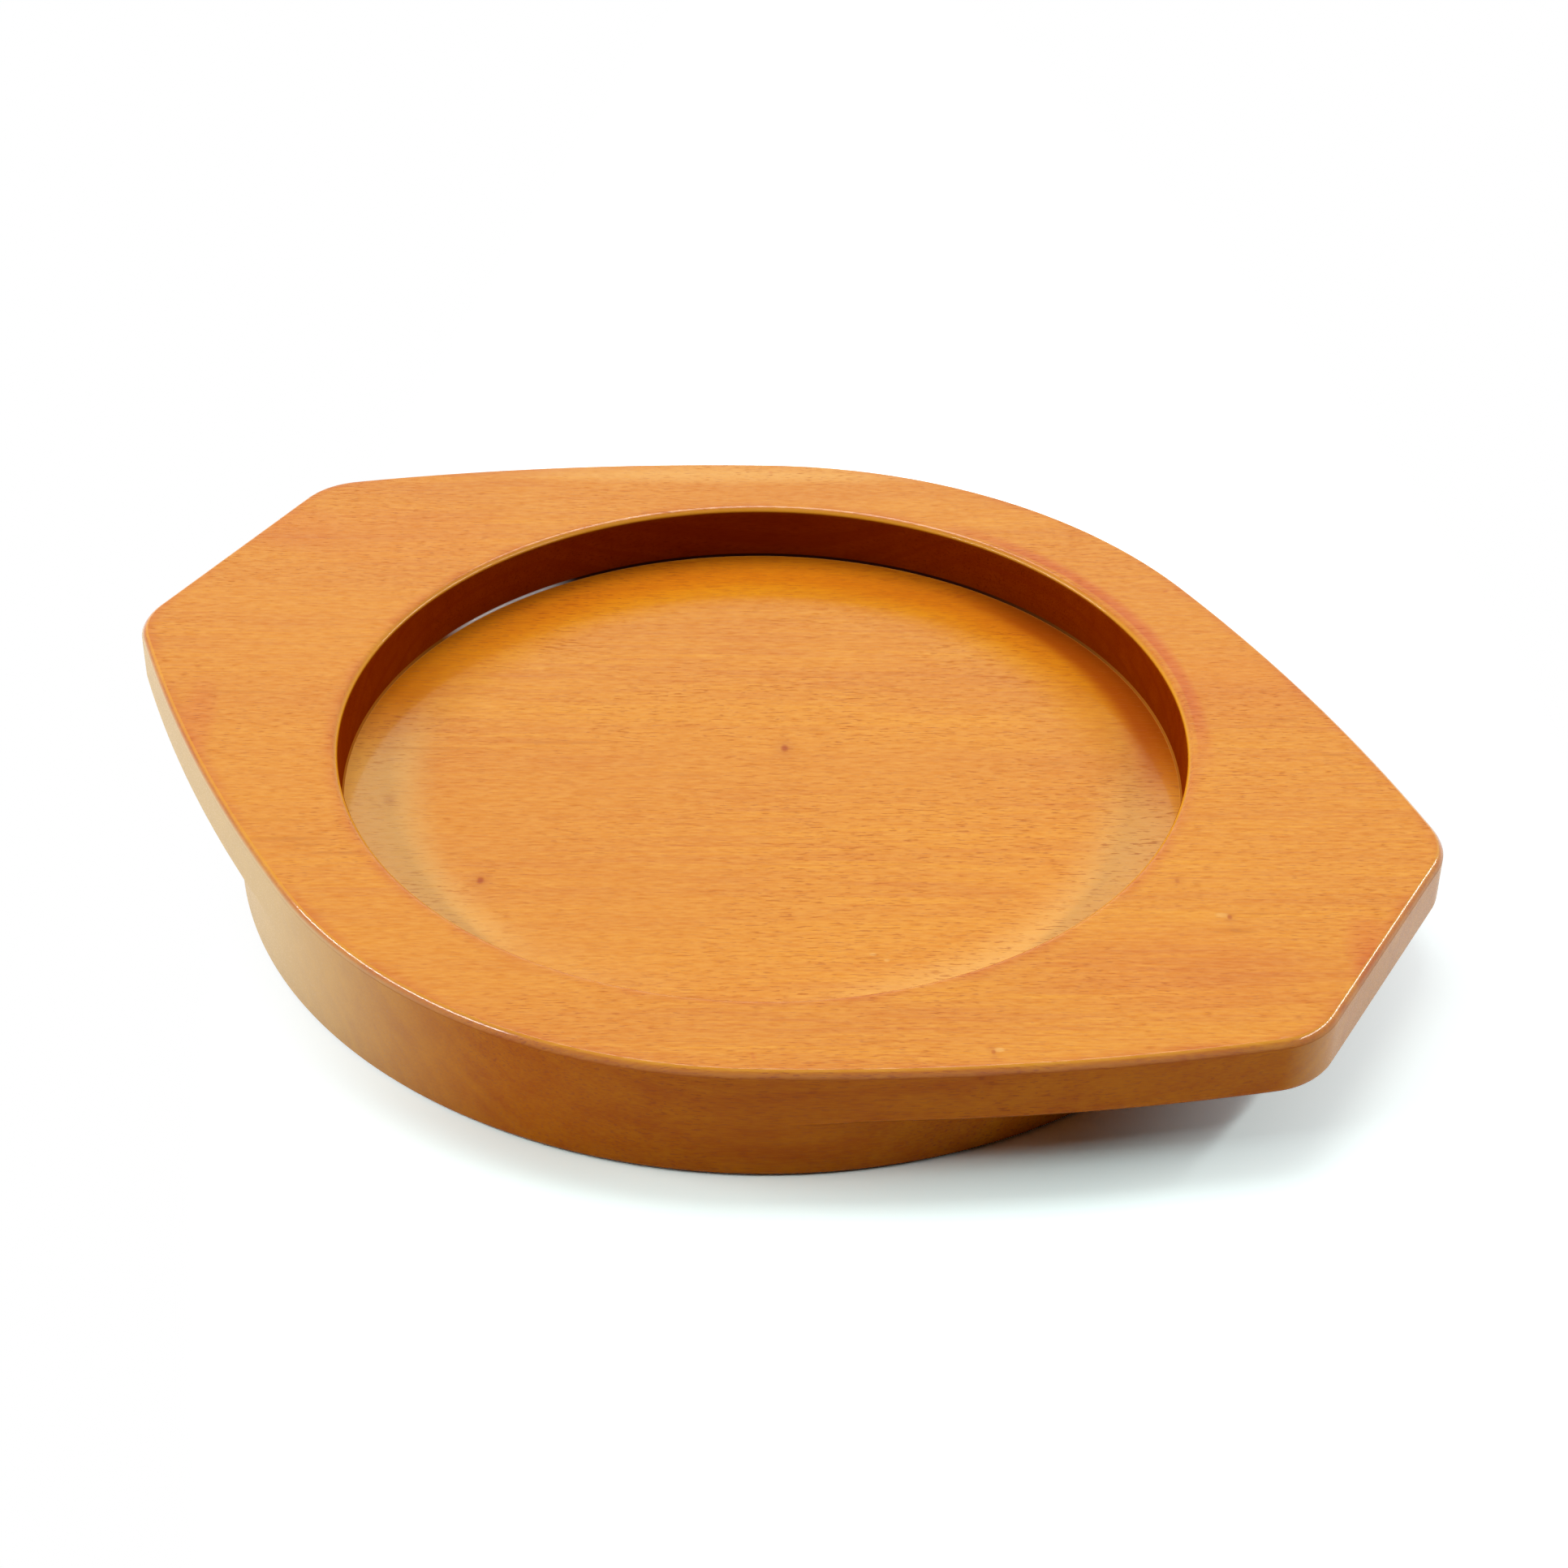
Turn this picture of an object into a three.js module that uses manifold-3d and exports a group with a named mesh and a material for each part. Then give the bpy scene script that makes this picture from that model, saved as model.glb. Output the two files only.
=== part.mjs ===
// Wooden trivet: a recessed holder for a hot bowl, with two overhanging handles.
// Two boards are glued face to face, and each board is edge-glued from staves.
// Millimetres, +Z up. The origin is the centre of the underside, and +X runs along the handles.

import * as THREE from 'three';
import { mergeVertices } from 'three/addons/utils/BufferGeometryUtils.js';
import Module from 'manifold-3d';

const wasm = await Module();
wasm.setup();

// Boards
const topThickness = 10;
const baseThickness = 10;
const bodyDiameter = 174;

// Recess, sawn right through the upper board
const recessDiameter = 140;
const rimRound = 1.4;

// Handles
const overallLength = 220;
const handleEndWidth = 54;
const handleSideRadius = 350;
const handleCornerRadius = 13;

// Rounded edges
const topEdgeRound = 1.2;
const handleUnderRound = 1.5;
const baseEdgeRound = 1;

// Staves: equal strips that run along the grain, which is turned from the handles
const grainAngle = 30;
const staveCount = 6;
const glueGap = 0.3;

// Facets
const bodyArcSteps = 14;
const sideArcSteps = 7;
const cornerSteps = 6;
const roundSteps = 3;
const circleSteps = 96;
const cutterMargin = 5;
const mergeTolerance = 1e-4;

// Finish
const topColour = 0xe0964a;
const baseColour = 0xdc9245;
const lacquerRoughness = 0.35;

const bodyRadius = bodyDiameter / 2;
const recessRadius = recessDiameter / 2;
const totalHeight = baseThickness + topThickness;
const staveWidth = bodyDiameter / staveCount;
const rightAngle = Math.PI / 2;
const grain = THREE.MathUtils.degToRad(grainAngle);

// A closed geometry as a solid that can be cut
function toSolid(geometry) {
  const bare = geometry.index ? geometry.clone() : geometry;
  bare.deleteAttribute('normal');
  bare.deleteAttribute('uv');
  const merged = mergeVertices(bare, mergeTolerance);
  return new wasm.Manifold(new wasm.Mesh({
    numProp: 3,
    vertProperties: new Float32Array(merged.attributes.position.array),
    triVerts: new Uint32Array(merged.index.array),
  }));
}

// A cut solid as a geometry
function toGeometry(solid) {
  const mesh = solid.getMesh();
  const geometry = new THREE.BufferGeometry();
  geometry.setAttribute('position', new THREE.BufferAttribute(mesh.vertProperties, 3));
  geometry.setIndex(new THREE.BufferAttribute(mesh.triVerts, 1));
  geometry.computeVertexNormals();
  return geometry;
}

// One quarter of the outline, from the end of the right handle to the back of the body.
// Every point is a centre, a radius and an angle, so an inset outline only has smaller radii.
function quarterOutline() {
  const endX = overallLength / 2;
  const corner = new THREE.Vector2(endX, handleEndWidth / 2);

  // The side is an arc that leaves the round body smoothly and runs to the corner of the end
  const reach = handleSideRadius - bodyRadius;
  const cosine = (corner.lengthSq() + reach ** 2 - handleSideRadius ** 2) / (2 * corner.length() * reach);
  const sideDirection = corner.angle() - Math.acos(cosine);
  const sideCentre = new THREE.Vector2(reach, 0).rotateAround(new THREE.Vector2(), sideDirection);
  const leaveAngle = sideDirection + Math.PI;

  // The corner is a fillet that touches the straight end and the inside of the side arc
  const filletX = endX - handleCornerRadius;
  const rise = Math.sqrt((handleSideRadius - handleCornerRadius) ** 2 - (filletX - sideCentre.x) ** 2);
  const filletCentre = new THREE.Vector2(filletX, sideCentre.y + rise);
  const filletAngle = filletCentre.clone().sub(sideCentre).angle();

  const points = [];
  const addArc = (centre, radius, from, to, steps) => {
    for (let step = 0; step < steps; step += 1) {
      const angle = from + (to - from) * step / steps;
      points.push({ x: centre.x, y: centre.y, radius, angle });
    }
  };
  addArc(filletCentre, handleCornerRadius, 0, filletAngle, cornerSteps);
  addArc(sideCentre, handleSideRadius, filletAngle, leaveAngle, sideArcSteps);
  addArc(new THREE.Vector2(), bodyRadius, leaveAngle, rightAngle, bodyArcSteps / 2);
  return points;
}

// The whole outline, counter-clockwise from the right handle: the quarter is mirrored twice
function wholeOutline() {
  const quarter = quarterOutline();
  const back = { x: 0, y: 0, radius: bodyRadius, angle: rightAngle };
  const mirrored = quarter.map((p) => ({ ...p, x: -p.x, angle: Math.PI - p.angle })).reverse();
  const half = [...quarter, back, ...mirrored];
  const turned = half.map((p) => ({ ...p, x: -p.x, y: -p.y, angle: p.angle + Math.PI }));
  return [...half, ...turned];
}

function outlinePoint(p, inset) {
  const radius = p.radius - inset;
  return new THREE.Vector2(p.x + radius * Math.cos(p.angle), p.y + radius * Math.sin(p.angle));
}

// The underside is rounded only where it overhangs the base
function underInset(p) {
  const overhang = outlinePoint(p, 0).length() - bodyRadius;
  return THREE.MathUtils.clamp(overhang, 0, handleUnderRound);
}

// The upper board with its handles, as rings of the outline stacked from the underside to the top
function topBoardGeometry(outline) {
  const rings = [];
  for (let step = 0; step <= roundSteps; step += 1) {
    const turn = rightAngle * step / roundSteps;
    const height = baseThickness + handleUnderRound * (1 - Math.cos(turn));
    rings.push({ height, inset: (p) => underInset(p) * (1 - Math.sin(turn)) });
  }
  for (let step = 0; step <= roundSteps; step += 1) {
    const turn = rightAngle * step / roundSteps;
    const height = totalHeight - topEdgeRound * (1 - Math.sin(turn));
    rings.push({ height, inset: () => topEdgeRound * (1 - Math.cos(turn)) });
  }

  const positions = [];
  const triangles = [];
  const count = outline.length;
  for (const ring of rings) {
    for (const p of outline) {
      const flat = outlinePoint(p, ring.inset(p));
      positions.push(flat.x, flat.y, ring.height);
    }
  }
  for (let level = 0; level < rings.length - 1; level += 1) {
    for (let index = 0; index < count; index += 1) {
      const next = (index + 1) % count;
      const low = level * count;
      const high = low + count;
      triangles.push(low + index, low + next, high + next);
      triangles.push(low + index, high + next, high + index);
    }
  }
  const bottomCentre = positions.length / 3;
  positions.push(0, 0, baseThickness, 0, 0, totalHeight);
  const topRing = (rings.length - 1) * count;
  for (let index = 0; index < count; index += 1) {
    const next = (index + 1) % count;
    triangles.push(bottomCentre, next, index);
    triangles.push(bottomCentre + 1, topRing + index, topRing + next);
  }

  const geometry = new THREE.BufferGeometry();
  geometry.setAttribute('position', new THREE.Float32BufferAttribute(positions, 3));
  geometry.setIndex(triangles);
  return geometry;
}

// A turned shape about the vertical axis
function turned(profile) {
  const geometry = new THREE.LatheGeometry(profile.map(([r, z]) => new THREE.Vector2(r, z)), circleSteps);
  return geometry.rotateX(rightAngle);
}

// What is sawn out of the upper board, with the flare of the rounded rim
function recessGeometry() {
  const profile = [[0, baseThickness - cutterMargin], [recessRadius, baseThickness - cutterMargin]];
  for (let step = 0; step <= roundSteps; step += 1) {
    const turn = rightAngle * step / roundSteps;
    const flare = rimRound * (1 - Math.cos(turn));
    profile.push([recessRadius + flare, totalHeight - rimRound * (1 - Math.sin(turn))]);
  }
  profile.push([recessRadius + rimRound, totalHeight + cutterMargin], [0, totalHeight + cutterMargin]);
  return turned(profile);
}

// The round base disc, with its lower edge rounded. The floor of the recess and the glued land round it
// are separate faces of its top.
function baseBoardGeometry() {
  const profile = [[0, 0]];
  for (let step = 0; step <= roundSteps; step += 1) {
    const turn = rightAngle * step / roundSteps;
    profile.push([bodyRadius - baseEdgeRound * (1 - Math.sin(turn)), baseEdgeRound * (1 - Math.cos(turn))]);
  }
  profile.push([bodyRadius, baseThickness], [recessRadius - glueGap, baseThickness], [0, baseThickness]);
  return turned(profile);
}

// Glue lines from back to front, as distances across the grain from the centre
function glueLines(count, firstWidth) {
  return Array.from({ length: count }, (_, index) => bodyRadius - firstWidth - index * staveWidth);
}

// Rips a board into its staves along the glue lines. The slabs reach well past every edge of the board.
function ripStaves(board, lines) {
  const edges = [overallLength, ...lines, -overallLength];
  return edges.slice(1).map((front, index) => {
    const back = edges[index];
    const width = back - front - glueGap;
    const slab = new THREE.BoxGeometry(2 * overallLength, width, totalHeight + 2 * cutterMargin);
    slab.translate(0, (back + front) / 2, totalHeight / 2);
    slab.rotateZ(grain);
    return board.intersect(toSolid(slab));
  });
}

function centreAlongGrain(geometry) {
  geometry.computeBoundingBox();
  const centre = geometry.boundingBox.getCenter(new THREE.Vector3());
  return centre.x * Math.cos(grain) + centre.y * Math.sin(grain);
}

function addPiece(group, name, geometry, color) {
  const material = new THREE.MeshStandardMaterial({ color, roughness: lacquerRoughness, metalness: 0 });
  const mesh = new THREE.Mesh(geometry, material);
  mesh.name = name;
  group.add(mesh);
}

// Upper board: a stave that the recess cuts through becomes a left and a right piece
function makeTopBoard() {
  const group = new THREE.Group();
  const board = toSolid(topBoardGeometry(wholeOutline())).subtract(toSolid(recessGeometry()));
  ripStaves(board, glueLines(staveCount - 1, staveWidth)).forEach((stave, index) => {
    const name = `top_stave_${index + 1}`;
    const pieces = stave.decompose().map(toGeometry);
    pieces.sort((a, b) => centreAlongGrain(a) - centreAlongGrain(b));
    const sides = pieces.length === 1 ? [''] : ['_left', '_right'];
    pieces.forEach((geometry, part) => addPiece(group, name + sides[part], geometry, topColour));
  });
  return group;
}

// Base disc: its glue lines lie half a stave from those above, so that no two lines meet
function makeBaseBoard() {
  const group = new THREE.Group();
  const board = toSolid(baseBoardGeometry());
  ripStaves(board, glueLines(staveCount, staveWidth / 2)).forEach((stave, index) => {
    addPiece(group, `base_stave_${index + 1}`, toGeometry(stave), baseColour);
  });
  return group;
}

const trivet = new THREE.Group();
trivet.add(makeTopBoard(), makeBaseBoard());

export default trivet;
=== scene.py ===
"""Wooden trivet, dressed: a stained and lacquered holder for a hot bowl.

The two boards are lofted whole, and Geometry Nodes rip them into their staves. One solid pattern of stained
wood runs through every stave. Lengths are metres, in the frame of the construction.
"""

import math
import random
from collections import namedtuple

import bmesh
import bpy
from bpy.props import FloatProperty, FloatVectorProperty, IntProperty, PointerProperty
from mathutils import Matrix, Vector


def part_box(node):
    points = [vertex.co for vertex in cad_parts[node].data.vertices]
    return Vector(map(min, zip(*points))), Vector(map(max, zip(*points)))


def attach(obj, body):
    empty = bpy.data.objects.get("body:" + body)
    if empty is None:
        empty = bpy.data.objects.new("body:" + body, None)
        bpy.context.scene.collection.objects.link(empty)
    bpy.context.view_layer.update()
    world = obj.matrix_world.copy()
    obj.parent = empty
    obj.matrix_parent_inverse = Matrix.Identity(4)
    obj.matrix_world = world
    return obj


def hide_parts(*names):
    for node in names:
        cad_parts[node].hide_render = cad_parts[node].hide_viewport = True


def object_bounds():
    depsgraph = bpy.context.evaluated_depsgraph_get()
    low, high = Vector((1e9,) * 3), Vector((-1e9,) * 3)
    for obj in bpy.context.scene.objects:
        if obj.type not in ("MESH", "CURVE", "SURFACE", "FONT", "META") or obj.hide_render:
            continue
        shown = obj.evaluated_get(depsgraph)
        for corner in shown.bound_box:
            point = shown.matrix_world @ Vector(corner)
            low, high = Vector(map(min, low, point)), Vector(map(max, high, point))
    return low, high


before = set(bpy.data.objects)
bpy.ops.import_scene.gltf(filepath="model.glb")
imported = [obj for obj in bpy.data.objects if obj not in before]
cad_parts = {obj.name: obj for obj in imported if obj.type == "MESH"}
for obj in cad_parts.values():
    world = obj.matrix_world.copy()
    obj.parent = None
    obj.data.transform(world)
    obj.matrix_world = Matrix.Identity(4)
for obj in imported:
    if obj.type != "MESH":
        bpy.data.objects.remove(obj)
cad_low, cad_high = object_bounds()
cad_size = cad_high - cad_low

bl_info = {
    "name": "Wooden Trivet",
    "version": (1, 0, 0),
    "blender": (4, 5, 0),
    "location": "View3D > Sidebar > Trivet",
    "description": "Makes a lacquered wooden trivet from edge-glued staves, on a white studio floor",
    "category": "Add Mesh",
}

BODY = "root"
MM = 0.001
RIGHT_ANGLE = math.pi / 2

# Fineness of the meshes
OUTLINE_STEP = 0.7 * MM
CORNER_STEP = 0.35 * MM
ROUND_STEPS = 8
BASE_STEPS = 480
EDGE_SQUASH = 1.48
BEAD_STEPS = 4
BEAD_SAG = 0.07
SHARP_ANGLE = math.radians(30)
MERGE_DISTANCE = 0.001 * MM
SLAB_HEIGHTS = 4

# Extra rings on the flat top beside its edges, which carry the deeper stain there
TOP_RINGS = [0.7 * MM, 1.6 * MM, 2.8 * MM, 4.5 * MM]

# What the nodes that rip a stave are given
STAVE_INPUTS = {
    "Board": "Geometry",
    "Slab Size": "Vector",
    "Slab Centre": "Vector",
    "Grain Angle": "Float",
    "Wood": "Material",
}

# Attributes that the finish reads from each stave
EDGE_ATTRIBUTE = "edge_depth"
SEED_ATTRIBUTE = "stave_seed"
TONE_ATTRIBUTE = "stave_tone"

# How far the staves of a board differ in tone, and the draw of each board
TONE_SPREAD = 0.04
UPPER_SEED = 7
BASE_SEED = 19

# Camera and floor. The shown floor starts to turn white, and is white, so many metres from the middle. Every
# metre to the left or the right counts as so many more.
SENSOR_WIDTH = 36.0
FLOOR_REACH = 10.0
WHITE_FLOOR = (0.20, 0.5)
WHITE_LEFT = 4.5
WHITE_RIGHT = 2.5

# Softboxes, each between two places on a dome: degrees from straight behind towards the left, and upwards
SOFTBOX_DISTANCE = 1.6
SOFTBOX_HEIGHT = 0.08
CEILING_WIDTH = 0.8
LEFT_ENDS = ((122, 46), (74, 27))
RIGHT_ENDS = ((-58, 19), (-116, 44))
CEILING_ENDS = ((0, 78), (0, 102))

# Light of the studio itself. Each pair is where a light starts to show and where it is full.
BACK_LIGHT_LIFT = math.radians(40)
SIDE_LIGHT_LIFT = math.radians(20)
WINDOW_EDGE = (0.84, 0.97)
STUDIO_RISE = (0.0, 0.65)
FRONT_FADE = (-0.2, 0.35)

# Sizes of features in the wood along, across and through the grain, in millimetres
WANDER_GRAIN = (80.0, 30.0, 30.0)
CLOUD_GRAIN = (90.0, 14.0, 20.0)
STREAK_GRAIN = (40.0, 1.5, 3.0)
PATCH_GRAIN = (60.0, 30.0, 40.0)
FIBRE_GRAIN = (2.2, 0.30, 0.30)
LINE_GRAIN = (18.0, 0.55, 0.8)
MOTTLE_GRAIN = (6.0, 5.0, 5.0)
PORE_GRAIN = (1.9, 0.24, 0.26)
CROWD_GRAIN = (40.0, 18.0, 30.0)
RUB_GRAIN = (14.0, 9.0, 20.0)

# Growth rings, in millimetres. The pith of a stave lies below it, and as far aside as its seed says.
RING_WIDTH = 2.4
RING_WANDER = 16.0
PITH_DEPTH = 30.0
PITH_ASIDE = 90.0
SEED_SHIFT = (310.0, 170.0, 90.0)

# How strongly each feature shows in the tone. Shares are for all the wood, patches of it and sawn sides.
CLOUD_TONE = 0.7
RING_TONE = 0.6
STREAK_TONE = 0.5
FIBRE_TONE = 1.4
LINE_TONE = 1.25
MOTTLE_TONE = 0.8
FIGURE_SHARES = (0.3, 0.4, 1.2)
LINE_SHARES = (0.4, 0.6)

# Pores, and pin knots with a halo. A knot's pairs are multiples of its size.
MIDDLING = (0.35, 0.65)
PORE_EDGE = (0.58, 0.67)
PORE_SHARES = (0.45, 0.55)
PORE_DEPTH = 0.62
STREAK_EDGE = (0.35, 0.6)
KNOT_SQUEEZE = 0.65
KNOT_HEART = (1.9, 0.4)
KNOT_HALO = (6.0, 0.8)
KNOT_SHARES = (0.75, 0.25)

# Masks of faces: where each starts and where it is full, by the upward part of the normal, or by its size
# alone for the three slopes of walls, walls with a painted glare and the lip
WALL_SLOPE = (0.95, 0.35)
GLARE_SLOPE = (0.75, 0.50)
LIP_SLOPE = (0.50, 0.35)
LIP_RISE = (0.05, 0.20)
CREST_RISE = (0.74, 0.84)
CREST_FALL = (0.97, 0.92)
UPWARD = (0.3, 0.8)
DOWNWARD = (-0.3, -0.8)
LEVEL = (0.9, 0.98)
SEALED_SLOPE = (0.3, 0.6)
SAWN_SLOPE = (0.3, 0.05)

# Masks by place, in millimetres: the end of the right handle, the recess with its rim, and the edges
END_REACH = (95.0, 100.0)
RIM_REACH = (2.0, 1.0)
RIM_MIDDLE = 0.7
OFF_RIM = (0.7, 1.3)
EDGE_REACH = (3.4, 0.6)

# The rest of the masks: by how far a face looks along +X, and by noise
END_FACE = (0.60, 1.00)
RUB_EDGE = (0.30, 0.62)
WALL_FIGURE = (0.50, 0.64)

# The line of lacquer: its top in beads of lacquer, and its foot in millimetres above the floor of the recess
LINE_TOP = (1.6, 1.0)
LINE_FOOT = (0.005, 0.03)

# How much of each stain, darkening, wear and painted light shows where its mask is full
EDGE_STAIN = 0.8
WALL_FIGURE_STAIN = 0.5
GLARE_LIFT = 0.75
CREST_WEAR_AND_SHEEN = 0.5
RIM_WEAR_AND_SHEEN = 0.8
LIP_DARKENING = 0.6
LINE_GLINT = 0.7

# Lacquer: how much there is, how it follows the fibre, and what dark marks and the rim take from it. Then how
# bare the sawn sides and the matt floor are, and the surface of the wood.
COAT_MIDDLE = 1.05
COAT_MOST = 1.4
COAT_FIBRE = 2.4
COAT_LOSS = 1.1
RIM_COAT_LOSS = 0.6
SAWN_BARE = 0.5
MATT_BARE = 0.8
COAT_IOR = 1.5
WOOD_SPECULAR = 0.15
PORE_ROUGHNESS = 0.15
RELIEF_STRENGTH = 0.1
RELIEF_DEPTH = 0.02 * MM
FIBRE_RELIEF = 0.4

Arc = namedtuple("Arc", "centre radius start end step")
OutlinePoint = namedtuple("OutlinePoint", "centre radius angle")
Slab = namedtuple("Slab", "left right front back")
Board = namedtuple("Board", "mesh wood seed depth_at hole piece node slot")

# Marks in the wood, with some painted light and shade, in millimetres along and across the grain from the
# middle of the trivet. A sweep is a band round the recess: its middle in degrees from +X, its spread to
# either side, of which a part is full, and the radii where it starts and where it is full.
SWEEP_FULL_PART = 1 / 3
Knot = namedtuple("Knot", "along across size depth")
Spot = namedtuple("Spot", "along across half_length half_width depth")
Sweep = namedtuple("Sweep", "turn spread start end depth")
Marks = namedtuple("Marks", "knots streaks pale red pale_sweeps red_sweeps dark_sweeps matt_sweeps")

# The outer walls on the left and the end of the right handle get a painted glare, paler than the wood, and
# the wall of the recess gets painted shade at the back
GLARE_WALL = Sweep(-152.0, 70.0, 82.0, 85.0, 0.8)
GLARE_END = 0.35
DARK_WALL = Sweep(119.0, 74.0, 75.0, 71.0, 1.0)

# Where the line of lacquer at the foot of the recess wall is glossy, with a painted whitish highlight
GLOSSY_LINE = Sweep(162.0, 13.0, 75.0, 71.0, 1.0)

UPPER_MARKS = Marks(
    knots=[
        Knot(71.4, -50.1, 0.30, 0.7),
        Knot(33.4, -81.9, 0.25, 0.6),
        Knot(64.3, -41.1, 0.30, 0.5),
    ],
    streaks=[
        Spot(-88.6, 9.1, 10.0, 0.6, 0.30),
        Spot(-70.0, 26.0, 6.0, 0.5, 0.35),
        Spot(-78.5, -26.9, 8.0, 0.6, 0.30),
        Spot(-75.3, -31.8, 9.0, 0.8, 0.40),
        Spot(-72.0, -33.4, 5.0, 0.5, 0.50),
        Spot(-66.0, -35.4, 7.0, 0.5, 0.40),
        Spot(86.6, 2.8, 4.0, 0.5, 0.35),
        Spot(93.3, -7.0, 5.0, 0.5, 0.45),
        Spot(96.4, -12.6, 6.0, 0.5, 0.30),
        Spot(75.2, -49.3, 4.0, 0.5, 0.45),
        Spot(71.6, -53.5, 4.5, 1.0, 0.50),
        Spot(16.5, -79.9, 3.0, 0.4, 0.50),
    ],
    pale=[
        # A painted sheen: the long pale strip along the top at the back
        Spot(-6.0, 83.5, 62.0, 5.5, 0.55),
        Spot(70.3, -49.6, 1.4, 0.7, 0.50),
        Spot(34.3, -81.4, 1.0, 0.6, 0.70),
    ],
    red=[
        Spot(-94.0, -1.0, 4.0, 17.0, 0.40),
        Spot(-84.0, 62.0, 14.0, 9.0, 0.30),
        Spot(92.0, -59.0, 5.0, 12.0, 0.50),
        Spot(63.1, -62.9, 26.0, 14.0, 0.22),
        Spot(-65.5, 59.6, 26.0, 14.0, 0.20),
        Spot(79.7, 13.0, 20.0, 14.0, 0.22),
    ],
    pale_sweeps=[],
    red_sweeps=[Sweep(57.0, 40.0, 75.0, 72.8, 0.90)],
    dark_sweeps=[],
    matt_sweeps=[],
)
BASE_MARKS = Marks(
    knots=[
        Knot(3.7, 7.9, 0.50, 0.85),
        Knot(-45.1, -29.3, 0.45, 0.85),
        Knot(-61.7, -7.6, 0.80, 0.25),
    ],
    streaks=[
        Spot(-56.3, 7.1, 12.0, 0.6, 0.40),
        Spot(-33.1, 9.1, 12.0, 0.6, 0.35),
        Spot(-12.2, -0.1, 6.0, 0.5, 0.30),
        Spot(8.0, 13.2, 5.0, 0.5, 0.30),
        Spot(-13.2, -17.3, 3.0, 0.4, 0.35),
        Spot(22.3, -24.3, 5.0, 0.5, 0.35),
        Spot(45.8, 33.7, 4.0, 0.5, 0.30),
        Spot(48.0, 4.2, 6.0, 0.6, 0.30),
        Spot(2.9, 47.6, 5.0, 0.5, 0.25),
    ],
    pale=[
        Spot(17.2, -47.4, 0.7, 0.5, 0.60),
        Spot(19.3, -48.8, 0.6, 0.5, 0.50),
    ],
    # Painted shade at the back of the floor of the recess, beside its wall
    red=[Spot(0.0, 64.0, 60.0, 9.0, 0.20)],
    # Painted light on the floor of the recess: a pale band at the front right, and paler zones by the wall at
    # the front left and on the left
    pale_sweeps=[
        Sweep(-13.0, 50.0, 53.0, 62.0, 0.65),
        Sweep(-105.0, 40.0, 50.0, 64.0, 0.25),
        Sweep(-130.0, 42.0, 54.0, 62.0, 0.80),
    ],
    # Painted shade on the floor of the recess beside the foot of its wall, at the back
    red_sweeps=[
        Sweep(65.0, 48.0, 61.0, 66.0, 0.70),
        Sweep(178.0, 32.0, 58.0, 66.0, 0.45),
        Sweep(119.0, 85.0, 56.0, 63.0, 0.60),
    ],
    # Painted shade on the floor of the recess at the back right, beside its wall
    dark_sweeps=[Sweep(58.0, 34.0, 62.6, 66.4, 0.85)],
    matt_sweeps=[Sweep(112.0, 95.0, 51.0, 61.0, 0.90)],
)


# Properties


def length(name, description, default):
    return FloatProperty(name=name, description=description, default=default, min=0.0, unit="LENGTH")


def shift(name, description, default):
    return FloatProperty(name=name, description=description, default=default, unit="LENGTH")


def angle(name, description, default):
    return FloatProperty(name=name, description=description, default=default, subtype="ANGLE")


def share(name, description, default):
    return FloatProperty(
        name=name, description=description, default=default, min=0.0, max=1.0, subtype="FACTOR"
    )


def strength(name, description, default):
    return FloatProperty(name=name, description=description, default=default, min=0.0)


def colour(name, description, default):
    return FloatVectorProperty(
        name=name, description=description, default=default, size=3, min=0.0, max=1.0, subtype="COLOR"
    )


class TrivetShape(bpy.types.PropertyGroup):
    """Sizes of the trivet"""

    overall_length: length("Length", "From one handle end to the other", cad_size.x)
    body_diameter: length("Body", "Diameter of the round body", cad_size.y)
    height: length("Height", "Both boards together", cad_size.z)
    base_thickness: length("Base", "Thickness of the lower board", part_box("base_stave_1")[1].z)
    recess_diameter: length("Recess", "Diameter of the hole in the upper board", 140 * MM)
    handle_end_width: length("Handle end", "Width of a handle's end where its edges would meet", 54 * MM)
    handle_side_radius: length("Handle side", "Radius of the bowed sides of the handles", 350 * MM)
    handle_corner_radius: length("Handle corner", "Radius of the handles' corners", 13 * MM)
    rim_round: length("Rim round", "Rounding of the rim of the recess", 1.4 * MM)
    top_edge_round: length("Edge round", "Rounding of the upper board's top edge", 1.2 * MM)
    handle_under_round: length("Underside round", "Rounding under the handles", 1.5 * MM)
    base_edge_round: length("Foot round", "Rounding of the base's lower edge", 1 * MM)
    lacquer_cove: length("Lacquer cove", "Bead of lacquer at the foot of the recess wall", 0.32 * MM)
    grain_angle: angle("Grain", "Turn of the grain from the handles", math.radians(30))
    stave_count: IntProperty(name="Staves", description="Staves across the upper board", default=6, min=1)


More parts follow.
